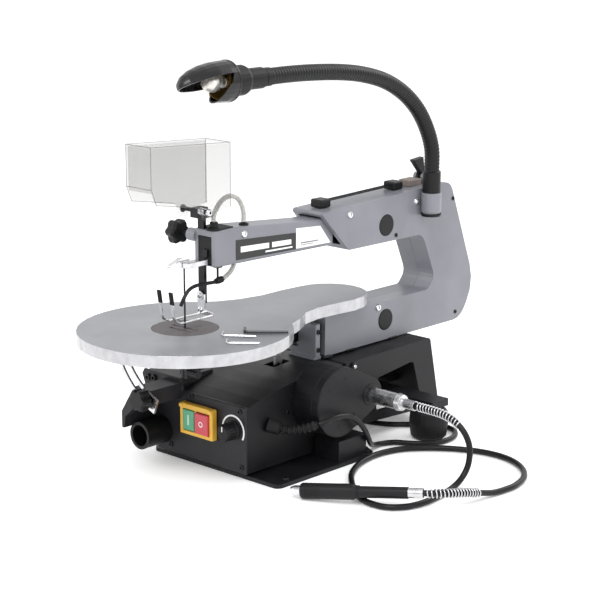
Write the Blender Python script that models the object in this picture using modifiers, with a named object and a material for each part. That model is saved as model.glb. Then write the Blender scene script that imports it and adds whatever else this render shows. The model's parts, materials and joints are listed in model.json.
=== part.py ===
"""Scroll saw with a parallel-arm blade drive, a flexible-shaft take-off, a lamp and a chip blower.

Units are metres in Blender and millimetres in the numbers below.  X points to the operator's right,
Y to the rear and Z up.  The world origin is on the floor under the base, midway between its front
edge and the back of the rear feet.  Every y below is counted from the blade line, at world BLADE_Y.
"""
import math

import bmesh
import bpy
from mathutils import Matrix, Vector

MM = 0.001
GAP = 0.3                                   # clearance between neighbouring pieces
BLADE_Y = -186.0                            # blade line, from the middle of the footprint

# Driving dimensions, in millimetres
TABLE_TOP = 178.0
TABLE_THICK = 14.0
TABLE_RADIUS = 122.0
INSERT_RADIUS = 38.0
PIVOT_Y = 316.0                             # both arm pivots, behind the blade
UPPER_PIVOT_Z = 252.0
LOWER_PIVOT_Z = 133.0
CRANK_Y, CRANK_Z = 153.0, 77.0              # motor shaft
CRANK_THROW = 3.9                           # gives about 15 mm of blade stroke
PTO_Y, PTO_Z = 203.0, 76.0                  # shaft that drives the flexible shaft
FRAME_HALF = 25.0                           # half the width of the C-frame
BASE_HALF = 104.0
HOUSING_LEFT, HOUSING_RIGHT = -89.0, 58.0
PANEL_Y = 40.0                              # back of the front panel
LAMP_X, LAMP_Y = 37.0, 387.0
SPINDLE_REACH = 117.0                       # outer end of the take-off spindle

MATERIALS = {                               # colour, metallic, roughness
    "cast_grey": ((0.26, 0.27, 0.30), 0.0, 0.42),
    "table_alloy": ((0.44, 0.43, 0.42), 1.0, 0.38),
    "insert_grey": ((0.13, 0.12, 0.13), 0.0, 0.55),
    "black_moulding": ((0.012, 0.012, 0.014), 0.0, 0.50),
    "panel_black": ((0.030, 0.030, 0.033), 0.0, 0.55),
    "bright_steel": ((0.62, 0.62, 0.62), 1.0, 0.25),
    "dark_steel": ((0.05, 0.05, 0.05), 1.0, 0.40),
    "black_rubber": ((0.012, 0.012, 0.012), 0.0, 0.75),
    "switch_yellow": ((0.74, 0.44, 0.05), 0.0, 0.45),
    "button_green": ((0.10, 0.36, 0.22), 0.0, 0.40),
    "button_red": ((0.54, 0.06, 0.08), 0.0, 0.40),
    "clear_plastic": ((0.80, 0.78, 0.78), 0.0, 0.10),
    "clear_glass": ((0.85, 0.85, 0.85), 0.0, 0.05),
}


# ---------------------------------------------------------------- helpers

def empty_the_scene():
    for obj in list(bpy.data.objects):
        bpy.data.objects.remove(obj, do_unlink=True)


def make_collection(name):
    collection = bpy.data.collections.new(name)
    bpy.context.scene.collection.children.link(collection)
    return collection


def make_material(name):
    colour, metallic, roughness = MATERIALS[name]
    material = bpy.data.materials.new(name)
    material.use_nodes = True
    shader = material.node_tree.nodes["Principled BSDF"]
    shader.inputs["Base Color"].default_value = (*colour, 1.0)
    shader.inputs["Metallic"].default_value = metallic
    shader.inputs["Roughness"].default_value = roughness
    return material


def at(x, y, z):
    """World point, in metres, of a point given in millimetres from the blade line."""
    return Vector((x, y + BLADE_Y, z)) * MM


def finish(name, bm, material=None, axis_point=None):
    """Turn a bmesh in world metres into a part, or into a cutter if it has no material."""
    bmesh.ops.recalc_face_normals(bm, faces=bm.faces)
    mesh = bpy.data.meshes.new(name)
    bm.to_mesh(mesh)
    bm.free()
    origin = at(*axis_point) if axis_point else Vector()
    mesh.transform(Matrix.Translation(-origin))
    mesh.shade_smooth()
    mesh.set_sharp_from_angle(angle=math.radians(35))
    obj = bpy.data.objects.new(name, mesh)
    obj.location = origin
    if material:
        mesh.materials.append(make_or_get(material))
        parts.objects.link(obj)
    else:
        obj.hide_render = True
        obj.display_type = "WIRE"
        cutters.objects.link(obj)
    return obj


def make_or_get(name):
    return bpy.data.materials.get(name) or make_material(name)


def cut(obj, *tools, operation="DIFFERENCE"):
    for tool in tools:
        boolean = obj.modifiers.new(tool.name, "BOOLEAN")
        boolean.operation = operation
        boolean.object = tool
    return obj


def join(obj, *tools):
    return cut(obj, *tools, operation="UNION")


def soften(bm, edges, width, segments=2):
    bmesh.ops.bevel(bm, geom=edges, offset=width * MM, segments=segments, affect="EDGES",
                    profile=0.5, clamp_overlap=True)


def sharp_edges(bm, limit=50):
    return [e for e in bm.edges if len(e.link_faces) == 2
            and e.calc_face_angle() > math.radians(limit)]


def block(name, x, y, z, material=None, bevel=0.0, axis_point=None):
    """Box between two values on each axis."""
    bm = bmesh.new()
    bmesh.ops.create_cube(bm, size=1.0)
    low, high = at(x[0], y[0], z[0]), at(x[1], y[1], z[1])
    bmesh.ops.scale(bm, vec=high - low, verts=bm.verts)
    bmesh.ops.translate(bm, vec=(low + high) / 2, verts=bm.verts)
    if bevel:
        soften(bm, list(bm.edges), bevel)
    return finish(name, bm, material, axis_point)


def rod(name, start, end, radius, material=None, tip=None, sides=24, bevel=0.0, axis_point=None):
    """Round bar, or a cone if the tip has its own radius."""
    a, b = at(*start), at(*end)
    bm = bmesh.new()
    bmesh.ops.create_cone(bm, cap_ends=True, segments=sides, radius1=radius * MM,
                          radius2=(radius if tip is None else tip) * MM, depth=(b - a).length)
    turn = (b - a).to_track_quat("Z", "Y").to_matrix().to_4x4()
    bmesh.ops.transform(bm, matrix=Matrix.Translation((a + b) / 2) @ turn, verts=bm.verts)
    if bevel:
        soften(bm, sharp_edges(bm), bevel)
    return finish(name, bm, material, axis_point)


def rounded(corners, step=20.0):
    """Outline through (u, v, radius) corners, with each radius drawn as an arc."""
    outline = []
    for index, (u, v, radius) in enumerate(corners):
        corner = Vector((u, v))
        if not radius:
            outline.append(tuple(corner))
            continue
        back = (Vector(corners[index - 1][:2]) - corner).normalized()
        ahead = (Vector(corners[(index + 1) % len(corners)][:2]) - corner).normalized()
        half = back.angle(ahead) / 2
        centre = corner + (back + ahead).normalized() * radius / math.sin(half)
        spoke = corner + back * radius / math.tan(half) - centre
        turn = math.copysign(math.pi - 2 * half, ahead.x * back.y - ahead.y * back.x)
        count = max(1, math.ceil(abs(math.degrees(turn)) / step))
        for part in range(count + 1):
            outline.append(tuple(centre + Matrix.Rotation(turn * part / count, 2) @ spoke))
    return outline


def circle(u, v, radius, sides=24, start=0.0, sweep=360.0):
    """Points of a circle or, with a smaller sweep, of an arc."""
    closed = sweep >= 360.0
    count = sides if closed else sides + 1
    return [(u + radius * math.cos(math.radians(start + sweep * i / sides)),
             v + radius * math.sin(math.radians(start + sweep * i / sides))) for i in range(count)]


ALONG = {                                   # outline plane to world, by the axis it is extruded on
    "X": Matrix(((0, 0, 1, 0), (1, 0, 0, 0), (0, 1, 0, 0), (0, 0, 0, 1))),
    "Y": Matrix(((1, 0, 0, 0), (0, 0, -1, 0), (0, 1, 0, 0), (0, 0, 0, 1))),
    "Z": Matrix.Identity(4),
}


def evaluated_bmesh(curve_object):
    """Mesh of a curve object with its caps welded; the curve is removed."""
    depsgraph = bpy.context.evaluated_depsgraph_get()
    mesh = bpy.data.meshes.new_from_object(curve_object.evaluated_get(depsgraph))
    bm = bmesh.new()
    bm.from_mesh(mesh)
    bmesh.ops.remove_doubles(bm, verts=bm.verts, dist=1e-6)
    bpy.data.objects.remove(curve_object, do_unlink=True)
    bpy.data.meshes.remove(mesh)
    return bm


def plate(name, outline, along, span, material=None, holes=(), bevel=0.0, outer_bevel=None,
          segments=2, axis_point=None):
    """Flat outline extruded along one axis; X plates use (y, z), Y plates (x, z), Z plates (x, y)."""
    curve = bpy.data.curves.new(name, "CURVE")
    curve.dimensions = "2D"
    curve.fill_mode = "BOTH"
    curve.extrude = (span[1] - span[0]) / 2 * MM
    for ring in (outline, *holes):
        spline = curve.splines.new("POLY")
        spline.points.add(len(ring) - 1)
        spline.use_cyclic_u = True
        for point, (u, v) in zip(spline.points, ring):
            point.co = (u * MM, v * MM, 0.0, 1.0)
    holder = bpy.data.objects.new(name, curve)
    cutters.objects.link(holder)
    bm = evaluated_bmesh(holder)
    middle = (span[0] + span[1]) / 2
    centre = {"X": at(middle, 0, 0), "Y": at(0, middle, 0), "Z": at(0, 0, middle)}[along]
    bmesh.ops.transform(bm, matrix=Matrix.Translation(centre) @ ALONG[along], verts=bm.verts)
    if outer_bevel is not None:
        axis = "XYZ".index(along)
        level = (at(outer_bevel, outer_bevel, outer_bevel))[axis]
        rim = [e for e in bm.edges if all(abs(v.co[axis] - level) < 1e-6 for v in e.verts)
               and len(e.link_faces) == 2 and e.calc_face_angle() > math.radians(50)]
        soften(bm, rim, bevel, segments)
    elif bevel:
        soften(bm, sharp_edges(bm), bevel, segments)
    return finish(name, bm, material, axis_point)


def turned(name, profile, base, towards, material=None, steps=32, axis_point=None):
    """Turned piece: (radius, height) pairs run down its outer side; towards is its axis."""
    curve = bpy.data.meshes.new(name + "_profile")
    bm = bmesh.new()
    points = [bm.verts.new((radius * MM, 0.0, height * MM)) for radius, height in profile]
    for a, b in zip(points, points[1:]):
        bm.edges.new((a, b))
    bm.to_mesh(curve)
    bm.free()
    holder = bpy.data.objects.new(name, curve)
    cutters.objects.link(holder)
    screw = holder.modifiers.new("turn", "SCREW")
    screw.steps = steps
    screw.render_steps = steps
    screw.use_merge_vertices = True
    screw.merge_threshold = 0.00001
    bm = evaluated_bmesh(holder)
    turn = Vector(towards).to_track_quat("Z", "Y").to_matrix().to_4x4()
    bmesh.ops.transform(bm, matrix=Matrix.Translation(at(*base)) @ turn, verts=bm.verts)
    return finish(name, bm, material, axis_point)


def smooth_route(points, spacing):
    """Points on one smooth curve through the given ones, about spacing millimetres apart."""
    knots = [Vector(p) for p in points]
    knots = [2 * knots[0] - knots[1]] + knots + [2 * knots[-1] - knots[-2]]
    fine = []
    for a, b, c, d in zip(knots, knots[1:], knots[2:], knots[3:]):
        for i in range(24):
            t = i / 24
            fine.append(0.5 * (2 * b + (c - a) * t + (2 * a - 5 * b + 4 * c - d) * t ** 2
                               + (3 * b - a - 3 * c + d) * t ** 3))
    fine.append(knots[-2])
    lengths = [0.0]
    for a, b in zip(fine, fine[1:]):
        lengths.append(lengths[-1] + (b - a).length)
    count = max(2, round(lengths[-1] / spacing))
    route, index = [], 0
    for i in range(count + 1):
        target = lengths[-1] * i / count
        while index < len(lengths) - 2 and lengths[index + 1] < target:
            index += 1
        share = (target - lengths[index]) / max(lengths[index + 1] - lengths[index], 1e-9)
        route.append(fine[index].lerp(fine[index + 1], min(max(share, 0.0), 1.0)))
    return route


def tube(name, points, radius, material=None, resolution=2, spacing=None, axis_point=None):
    """Round tube or wire through the points, smoothed when a spacing is given."""
    route = smooth_route(points, spacing) if spacing else [Vector(p) for p in points]
    curve = bpy.data.curves.new(name, "CURVE")
    curve.dimensions = "3D"
    curve.bevel_depth = radius * MM
    curve.bevel_resolution = resolution
    curve.use_fill_caps = True
    spline = curve.splines.new("POLY")
    spline.points.add(len(route) - 1)
    for point, place in zip(spline.points, route):
        point.co = (*at(*place), 1.0)
    holder = bpy.data.objects.new(name, curve)
    cutters.objects.link(holder)
    return finish(name, evaluated_bmesh(holder), material, axis_point)


def star_knob(name, centre, towards, radius, thick, material, lobes=7, axis_point=None):
    """Lobed hand knob, with its axis through the centre."""
    outline = []
    for i in range(lobes * 5):
        angle = 2 * math.pi * i / (lobes * 5)
        outline.append((radius * (1.0 + 0.13 * math.cos(lobes * angle)) * math.cos(angle),
                        radius * (1.0 + 0.13 * math.cos(lobes * angle)) * math.sin(angle)))
    bm = bmesh.new()
    rings = []
    for height, scale in ((0.0, 0.86), (thick * 0.2, 1.0), (thick * 0.8, 1.0), (thick, 0.86)):
        rings.append([bm.verts.new((u * scale * MM, v * scale * MM, height * MM)) for u, v in outline])
    for low, high in zip(rings, rings[1:]):
        for i in range(len(low)):
            bm.faces.new((low[i - 1], low[i], high[i], high[i - 1]))
    bm.faces.new(rings[0][::-1])
    bm.faces.new(rings[-1])
    turn = Vector(towards).to_track_quat("Z", "Y").to_matrix().to_4x4()
    bmesh.ops.transform(bm, matrix=Matrix.Translation(at(*centre)) @ turn, verts=bm.verts)
    return finish(name, bm, material, axis_point or centre)


# ---------------------------------------------------------------- base and stand

def build_base():
    outline = rounded([(-BASE_HALF, 42, 8), (BASE_HALF, 42, 8), (BASE_HALF, 206, 10), (72, 222, 10),
                       (-72, 222, 10), (-BASE_HALF, 206, 10)])
    base = plate("base_plate", outline, "Z", (0, 5), "black_moulding", bevel=1.2, segments=1)
    join(base, block("base_block_right", (62, 100), (148, 196), (3, 30)),
         block("base_block_left", (-100, HOUSING_LEFT - 0.4), (148, 196), (3, 30)))


def build_rear_support():
    """Open-bottomed casting with a window in each side, which carries the C-frame."""
    shell = plate("rear_support", rounded([(206, 24, 4), (372, 16, 6), (382, 20, 4), (364, 106.5, 5),
                                           (206, 104.5, 3)]), "X", (-58, 58), "black_moulding")
    room = plate("support_room", [(212, 0), (373, 0), (358, 101), (212, 99)], "X", (-53, 53))
    window = plate("support_window", rounded([(262, 33, 5), (347, 31, 5), (331, 83, 5), (264, 75, 5)]),
                   "X", (-70, 70))
    bolt_room = block("support_front_cut", (-40, 40), (200, 215), (0, 90))
    cut(shell, room, window, bolt_room)
    join(shell, block("rear_crossbar", (-122, 122), (292, 322), (41, 50)),
         block("crossbar_rib", (-5, 5), (318, 376), (41, 50)))
    for side, name in ((1, "rear_foot_right"), (-1, "rear_foot_left")):
        turned(name, [(0, 40.7), (17, 40.7), (23, 34), (24, 20), (22, 4), (18, 0), (0, 0)],
               (side * 104, 307, 0), (0, 0, 1), "black_rubber", steps=24)


# ---------------------------------------------------------------- front housing, panel and controls

def build_front_housing():
    top = [(40.3, 86), (60, 91.5), (85, 96.5), (110, 100.5), (140, 104), (170, 106), (199, 106)]
    shell = plate("front_housing", [(199, 8), *reversed(top), (40.3, 8)], "X",
                  (HOUSING_LEFT, HOUSING_RIGHT), "black_moulding")
    inside = [(37, 5), (196, 5), *[(y if y < 196 else 196, z - 3) for y, z in reversed(top[1:])],
              (37, 82)]
    room = plate("housing_room", inside, "X", (HOUSING_LEFT + 3, HOUSING_RIGHT - 3))
    motor_hole = rod("housing_motor_hole", (50, CRANK_Y, CRANK_Z), (70, CRANK_Y, CRANK_Z), 25.5, sides=32)
    slot = block("housing_rod_slot", (-13, 4), (139, 167), (95, 115))
    cut(shell, room, motor_hole, slot)


def build_front_panel():
    outline = [(-89, 7.5), (58, 7.5), (58, 87), (-46, 87), (-50, 101), (-112, 101), (-116, 95),
               (-104, 62), (-104, 40), (-96, 20)]
    panel = plate("front_panel", outline, "Y", (PANEL_Y - 3, PANEL_Y), "panel_black", bevel=0.8, segments=1,
                  outer_bevel=PANEL_Y - 3)
    port_hole = rod("panel_port_hole", (-80, 30, 33), (-80, 50, 33), 11)
    cut(panel, port_hole)
    raised = plate("raised_housing", [(-112, 62), (-112, 98), (-108, 100.5), (-52, 100.5), (-50, 92),
                                      (-50, 80), (HOUSING_LEFT + 1.5, 80), (HOUSING_LEFT + 1.5, 62)],
                   "Y", (PANEL_Y + GAP, 92))
    raised_room = block("raised_room", (-109, -52), (PANEL_Y - 5, 88), (65, 97))
    cut(join(bpy.data.objects["front_housing"], raised), raised_room)
    turned("dust_port", [(12.7, 37), (16.3, 37), (16.3, 0), (10.7, 0), (12.7, 3), (12.7, 37)],
           (-80, PANEL_Y - 3 - GAP, 33), (0, -1, 0), "black_moulding", steps=24)


SWITCH_X = (-42, 12)
BUTTON_Z = (44.5, 69)
DIAL_X, DIAL_Z = 38, 57


def build_switch():
    face = PANEL_Y - 3 - GAP
    frame = block("switch_frame", SWITCH_X, (face - 8, face), (39, 76), "switch_yellow", bevel=1)
    well = block("switch_well", (SWITCH_X[0] + 5, SWITCH_X[1] - 5), (face - 20, face - 1.5), (43.5, 70))
    cut(frame, well)
    block("button_on", (-36.6, -18.4), (face - 8.4, face - 5), BUTTON_Z, "button_green", bevel=0.8,
          axis_point=(-27.5, face - 8, 57))
    block("button_off", (-14.6, 6.6), (face - 11, face - 5), BUTTON_Z, "button_red", bevel=0.8,
          axis_point=(-4, face - 11, 57))
    turned("speed_knob", [(0, 17.9), (8, 17.9), (9, 16.7), (10.2, 2.6), (11.4, 1.5), (11.4, 0), (0, 0)],
           (DIAL_X, face, DIAL_Z), (0, -1, 0), "black_moulding", steps=24, axis_point=(DIAL_X, face, DIAL_Z))


# ---------------------------------------------------------------- motor and take-off

def drive_outline(motor_radius, pto_radius):
    """Outline round the motor and the take-off spindle, as (y, z) points."""
    return (circle(CRANK_Y, CRANK_Z, motor_radius, 22, 60, 240)
            + circle(PTO_Y, PTO_Z, pto_radius, 8, -68, 136))


def build_motor():
    case = plate("motor_housing", drive_outline(41.5, 20), "X", (58 + GAP, 90 - GAP), "black_moulding")
    room = plate("motor_case_room", drive_outline(38.5, 17), "X", (62, 95))
    back = rod("motor_case_back", (50, CRANK_Y, CRANK_Z), (65, CRANK_Y, CRANK_Z), 25.3, sides=32)
    cut(case, room, back)
    cover = plate("motor_end_cover", drive_outline(41.5, 20), "X", (90, 100), "black_moulding", bevel=1.2,
                  outer_bevel=100)
    cover_room = plate("cover_room", drive_outline(38.5, 17), "X", (85, 96.5))
    bore = rod("cover_bore", (90, PTO_Y, PTO_Z), (110, PTO_Y, PTO_Z), 8.5)
    cut(cover, cover_room, bore)
    turned("motor", [(4.4, 52), (10, 52), (10, 47), (23.5, 47), (23.5, 0), (4.4, 0), (4.4, 52)],
           (9, CRANK_Y, CRANK_Z), (1, 0, 0), "dark_steel", steps=24)
    crank = rod("motor_shaft", (-1.5, CRANK_Y, CRANK_Z), (84, CRANK_Y, CRANK_Z), 4, "bright_steel", sides=16,
                axis_point=(0, CRANK_Y, CRANK_Z))
    disc = rod("crank_disc", (-4.4, CRANK_Y, CRANK_Z + CRANK_THROW), (-1.2, CRANK_Y, CRANK_Z + CRANK_THROW),
               8, sides=24)
    join(crank, disc, pulley("drive_pulley", CRANK_Y, CRANK_Z))
    belt_outer = circle(CRANK_Y, CRANK_Z, 12.6, 10, 88.9, 182.2) + circle(PTO_Y, PTO_Z, 12.6, 10, -91.1,
                                                            177.8)
    belt_inner = circle(CRANK_Y, CRANK_Z, 10.8, 10, 88.9, 182.2) + circle(PTO_Y, PTO_Z, 10.8, 10, -91.1,
                                                            177.8)
    plate("take_off_belt", belt_outer, "X", (71, 77), "black_rubber", holes=(belt_inner,))
    spindle = rod("take_off_spindle", (65, PTO_Y, PTO_Z), (SPINDLE_REACH, PTO_Y, PTO_Z), 4, "bright_steel",
                  sides=16, axis_point=(0, PTO_Y, PTO_Z))
    join(spindle, pulley("take_off_pulley", PTO_Y, PTO_Z))


def pulley(name, y, z):
    """Grooved wheel that the take-off belt runs on."""
    return turned(name, [(0, 12), (13, 12), (13, 10.6), (10.5, 10), (10.5, 2), (13, 1.4), (13, 0), (0, 0)],
                  (68, y, z), (1, 0, 0), steps=16)


# ---------------------------------------------------------------- C-frame and arms

LEVER_Z = 297.0
FRAME_OUTLINE = [(205, 107.5, 2), (464, 107.5, 26), (493, 150, 55), (440, 291, 16), (198, 283, 3),
                 (247, 231.5, 4), (386, 230.5, 16), (411, 172, 14), (398, 157, 8), (206, 157, 2)]
FRAME_ROOM = [(190, 114, 0), (458, 114, 22), (485, 150, 48), (434, 284, 12), (190, 276.5, 0),
              (190, 238.5, 0), (392, 237.5, 16), (418, 172, 14), (402, 146, 8), (190, 146, 0)]


def build_frame():
    for side, name in ((1, "frame_right"), (-1, "frame_left")):
        span = sorted((side * 0.15, side * FRAME_HALF))
        half = plate(name, rounded(FRAME_OUTLINE, 24), "X", span, "cast_grey", bevel=5,
                     outer_bevel=side * FRAME_HALF, segments=2)
        room = plate(name + "_room", rounded(FRAME_ROOM, 30), "X", sorted((-side * 2, side * 18.2)))
        cut(half, room)
        for pivot, z in (("upper", UPPER_PIVOT_Z), ("lower", LOWER_PIVOT_Z)):
            bore = rod(name + "_" + pivot + "_bore", (side * 10, PIVOT_Y, z), (side * 30, PIVOT_Y, z), 13.6,
                       sides=20)
            cut(half, bore)
        lug = plate(name + "_lug", rounded([(405, 286, 0), (419, 286, 0), (419, 303, 5), (405, 303, 5)]),
                    "X",
                    sorted((side * 4, side * 8)))
        join(half, lug)
        cut(half, rod(name + "_lug_bore", (-10, 412, LEVER_Z), (10, 412, LEVER_Z), 2.8, sides=16))
        if side < 0:                        # room for the tail of the table when it tilts
            relief = plate("tilt_relief", [(-4, 159), (-27, 145.6), (-40, 145.6), (-40, 170), (-4, 170)],
                           "Y", (190, 292))
            cut(half, relief)
    for pivot, z in (("upper", UPPER_PIVOT_Z), ("lower", LOWER_PIVOT_Z)):
        pin = rod(pivot + "_pivot_pin", (-24, PIVOT_Y, z), (24, PIVOT_Y, z), 5, "bright_steel", sides=20)
        join(pin, rod(pivot + "_pin_head", (-24.8, PIVOT_Y, z), (-18.6, PIVOT_Y, z), 11, sides=6))
        turned(pivot + "_pivot_cap", [(0, 7.4), (12.4, 7.4), (13.3, 6.6), (13.3, 0), (5.3, 0), (5.3, 6),
                                      (0, 6)],
               (18.4, PIVOT_Y, z), (1, 0, 0), "black_moulding", steps=20)


def build_upper_arm_housing():
    side_view = [(32, 243.5), (228, 240), (228, 274.5), (190, 274.5), (60, 285.8), (32, 285)]
    head = plate("arm_housing", side_view, "X", (-17, 17), "cast_grey", bevel=2, segments=2)
    room = plate("arm_housing_room", [(34.2, 246.3), (240, 243), (240, 271.5), (190, 271.5), (60, 282.5),
                                      (34.2, 281.8)], "X", (-14, 14))
    slot = block("arm_slot", (-11, 11), (25, 40), (244.8, 278))
    post_room = block("post_room", (-14, -3.6), (34.1, 38.8), (230, 300))
    boss = rod("knob_boss", (-28, 36.4, 276), (-15, 36.4, 276), 7.5, sides=20)
    boss_bore = rod("boss_bore", (-30, 36.4, 276), (-10, 36.4, 276), 3.4, sides=16)
    hose_way = rod("hose_way", (8, 86, 270), (8, 86, 300), 3.4, sides=12)
    hose_exit = rod("hose_exit", (8, 70, 230), (8, 70, 250), 3.4, sides=12)
    cut(join(cut(head, room), boss), slot, post_room, boss_bore, hose_way, hose_exit)


def build_arms():
    plate("upper_arm", rounded([(30, 254, 0), (300, 244, 4), (440, 247, 4), (440, 257, 4), (330, 262, 6),
                                        (30, 263, 0)]), "X", (-1.7, 5.3), "dark_steel",
                  holes=(circle(PIVOT_Y, UPPER_PIVOT_Z, 5.15, 20),), axis_point=(0, PIVOT_Y, UPPER_PIVOT_Z))
    plate("lower_arm", rounded([(2, 121, 0), (160, 124, 0), (300, 125, 4), (440, 128, 4), (440, 138, 4),
                                        (330, 142, 6), (160, 138, 0), (2, 131, 0)]), "X", (-12, -5),
                                        "dark_steel",
                  holes=(circle(PIVOT_Y, LOWER_PIVOT_Z, 5.15, 20),), axis_point=(0, PIVOT_Y, LOWER_PIVOT_Z))
    plate("tension_rod", rounded([(426, 128, 3), (436, 128, 3), (436, 257, 3), (426, 257, 3)]), "X",
          (-4.5, -2.2),
          "bright_steel", axis_point=(0, 431, LOWER_PIVOT_Z))
    ring = circle(CRANK_Y, CRANK_Z, 20, 28, 110, 320)
    bar = [*ring, (CRANK_Y + 6, 131), (CRANK_Y, 135), (CRANK_Y - 6, 131)]
    plate("connecting_rod", bar, "X", (-4.4, -1.5), "bright_steel",
          holes=(circle(CRANK_Y, CRANK_Z, 16.4, 28),), axis_point=(0, CRANK_Y, 130))


def build_blade_set():
    """The blade, its two holders and the clamp screws, which move together."""
    block("blade", (-0.25, 0.25), (-1.25, 1.25), (121, 252.8), "dark_steel", axis_point=(0, 0, 126))
    upper = block("upper_blade_holder", (-4.2, 8), (-3, 29), (246.5, 252.6), "bright_steel", bevel=0.6)
    upper_slit = block("upper_blade_slit", (-0.6, 0.6), (-6, 1.6), (240, 260))
    cut(upper, upper_slit)
    lower = block("lower_blade_holder", (-4.4, 5), (-3, 16), (119, 133), "bright_steel", bevel=0.6)
    lower_slit = block("lower_blade_slit", (-0.6, 0.6), (-6, 1.6), (110, 140))
    cut(lower, lower_slit)
    plate("blade_clamp_lever", rounded([(-6, 253.2, 1), (10, 253.2, 1), (10, 256, 1), (-2, 257.5, 2),
                                        (-20, 251, 1),
                                        (-19, 248.5, 1)]), "X", (-8, -1.6), "bright_steel",
          axis_point=(0, 4, 254.5))
    join(lower, rod("lower_clamp_screw", (4, 2, 126), (19, 2, 126), 5, sides=12))


# ---------------------------------------------------------------- table

def table_outline(grow=0.0):
    """Round front, a waist and a rounded tail over the lower arm."""
    radius = TABLE_RADIUS + grow
    front = circle(0, 0, radius, 34, 128, 284)
    right = [(66 + grow, 118), (52 + grow, 142), (46 + grow, 170), (47 + grow, 200), (50 + grow, 232)]
    tail = circle(2, 236, 47 + grow, 10, 0, 180)
    left = [(-47 - grow, 205), (-46 - grow, 170), (-52 - grow, 138), (-63 - grow, 112)]
    return front + right + tail + left


def build_table():
    top = plate("table", table_outline(), "Z", (TABLE_TOP - TABLE_THICK, TABLE_TOP), "table_alloy",
                axis_point=(0, 0, TABLE_TOP))
    under = plate("table_under", table_outline(-6), "Z", (TABLE_TOP - 20, TABLE_TOP - 6.5))
    hole = rod("insert_seat", (0, 0, TABLE_TOP - 3), (0, 0, TABLE_TOP + 5), INSERT_RADIUS + GAP, sides=40)
    well = rod("insert_well", (0, 0, TABLE_TOP - 20), (0, 0, TABLE_TOP + 1), INSERT_RADIUS - 5, sides=40)
    cut(top, under, hole, well)
    insert = rod("table_insert", (0, 0, TABLE_TOP - 3 + 0.3), (0, 0, TABLE_TOP - 0.2), INSERT_RADIUS,
                 "insert_grey",
                 sides=40, axis_point=(0, 0, TABLE_TOP))
    slot = block("insert_slot", (-20, 20), (-2.2, 2.2), (170, 190))
    slot_front = block("insert_front_slot", (-14, 20), (-12, -8), (170, 190))
    cut(insert, slot, slot_front)


QUADRANT_Y = -14.0
QUADRANT_RADIUS = 105.0
LOCK_ANGLE = 240.0                          # where the lock screw crosses the slotted quadrant


def build_tilt_lock():
    outer = circle(0, TABLE_TOP, QUADRANT_RADIUS + 9, 14, 183.6, 66)
    inner = circle(0, TABLE_TOP, QUADRANT_RADIUS - 9, 14, 249.6, -65.1)
    slot = (circle(0, TABLE_TOP, QUADRANT_RADIUS + 4.2, 12, 205, 40)
            + circle(0, TABLE_TOP, QUADRANT_RADIUS - 4.2, 12, 245, -40))
    plate("tilt_quadrant", outer + inner, "Y", (QUADRANT_Y, QUADRANT_Y + 3), "bright_steel", holes=(slot,),
          axis_point=(0, 0, TABLE_TOP))
    angle = math.radians(LOCK_ANGLE)
    x = QUADRANT_RADIUS * math.cos(angle)
    z = TABLE_TOP + QUADRANT_RADIUS * math.sin(angle)
    bracket = plate("tilt_bracket", [(x + 5, z - 9), (x + 5, z + 9), (x - 24, z + 9), (-99, 62), (-99, 42),
                                     (-95, 42), (-93, 56), (x - 18, z - 11)], "Y",
                    (QUADRANT_Y + 3 + GAP, PANEL_Y - 2))
    hollow = plate("bracket_hollow", [(x + 1, z - 30), (x + 1, z + 5.5), (x - 22.5, z + 5.5), (-95, 62),
                                      (-94, 40)],
                   "Y", (QUADRANT_Y + 12, PANEL_Y - 7))
    join(bpy.data.objects["front_panel"], cut(bracket, hollow))
    front = QUADRANT_Y - GAP - 1
    knob = star_knob("tilt_lock_knob", (x, front, z), (0, -1, 0), 12.5, 14, "black_moulding", lobes=6)
    join(knob, rod("lock_stem", (x, front - 2, z), (x, QUADRANT_Y + 3, z), 3.4, sides=12))


def build_trunnion():
    bracket = block("trunnion_bracket", (-17, 25), (189, 197), (108, 150), "cast_grey", bevel=1)
    arm_way = block("bracket_arm_way", (-13.4, -3.6), (180, 205), (118, 155))
    cut(bracket, arm_way)
    join(bracket, block("trunnion_foot", (-17, 25), (186, 199), (106.4, 109.5)))

# ---------------------------------------------------------------- hold-down, guard and blower


POST_X = (-13.6, -4.0)
POST_Y = (34.4, 38.4)
GUARD_HINGE = (0, 19, 309)


def build_hold_down():
    """Sliding post with the guard's hinge on top and the drop foot below."""
    post = block("holddown_post", POST_X, POST_Y, (199, 300), "dark_steel")
    head = block("hinge_block", (-14, 3.5), (27, 42), (299, 305))
    neck = block("hinge_neck", (-6, 6), (16, 32), (301, 312))
    pin = rod("hinge_pin", (-22, *GUARD_HINGE[1:]), (22, *GUARD_HINGE[1:]), 2.4, sides=16)
    join(post, head, neck, pin)
    stem = rod("knob_stem", (-44, 36.4, 276), (-14.4, 36.4, 276), 3, sides=12)
    knob = star_knob("holddown_knob", (-42, 36.4, 276), (-1, 0, 0), 13.2, 15, "black_moulding", lobes=6)
    join(knob, stem)
    ski = [(33.9, 186.3), (33.9, 187.8), (-15.4, 187.8), (-22, 190.8), (-25.4, 197), (-29.4, 222),
           (-30.9, 222), (-26.8, 196.2), (-23, 189.4), (-15.8, 186.3)]
    foot = plate("drop_foot", ski, "X", (7.5, 11.5), "bright_steel")
    twin = plate("drop_foot_left", ski, "X", (-11.5, -7.5))
    back = plate("foot_back", [(-14, 186.3), (11.5, 186.3), (11.5, 190), (-2, 192), (-2, 210), (-14, 210)],
                 "Y",
                 (32.4, 34.1))
    join(foot, back, twin)


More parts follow.
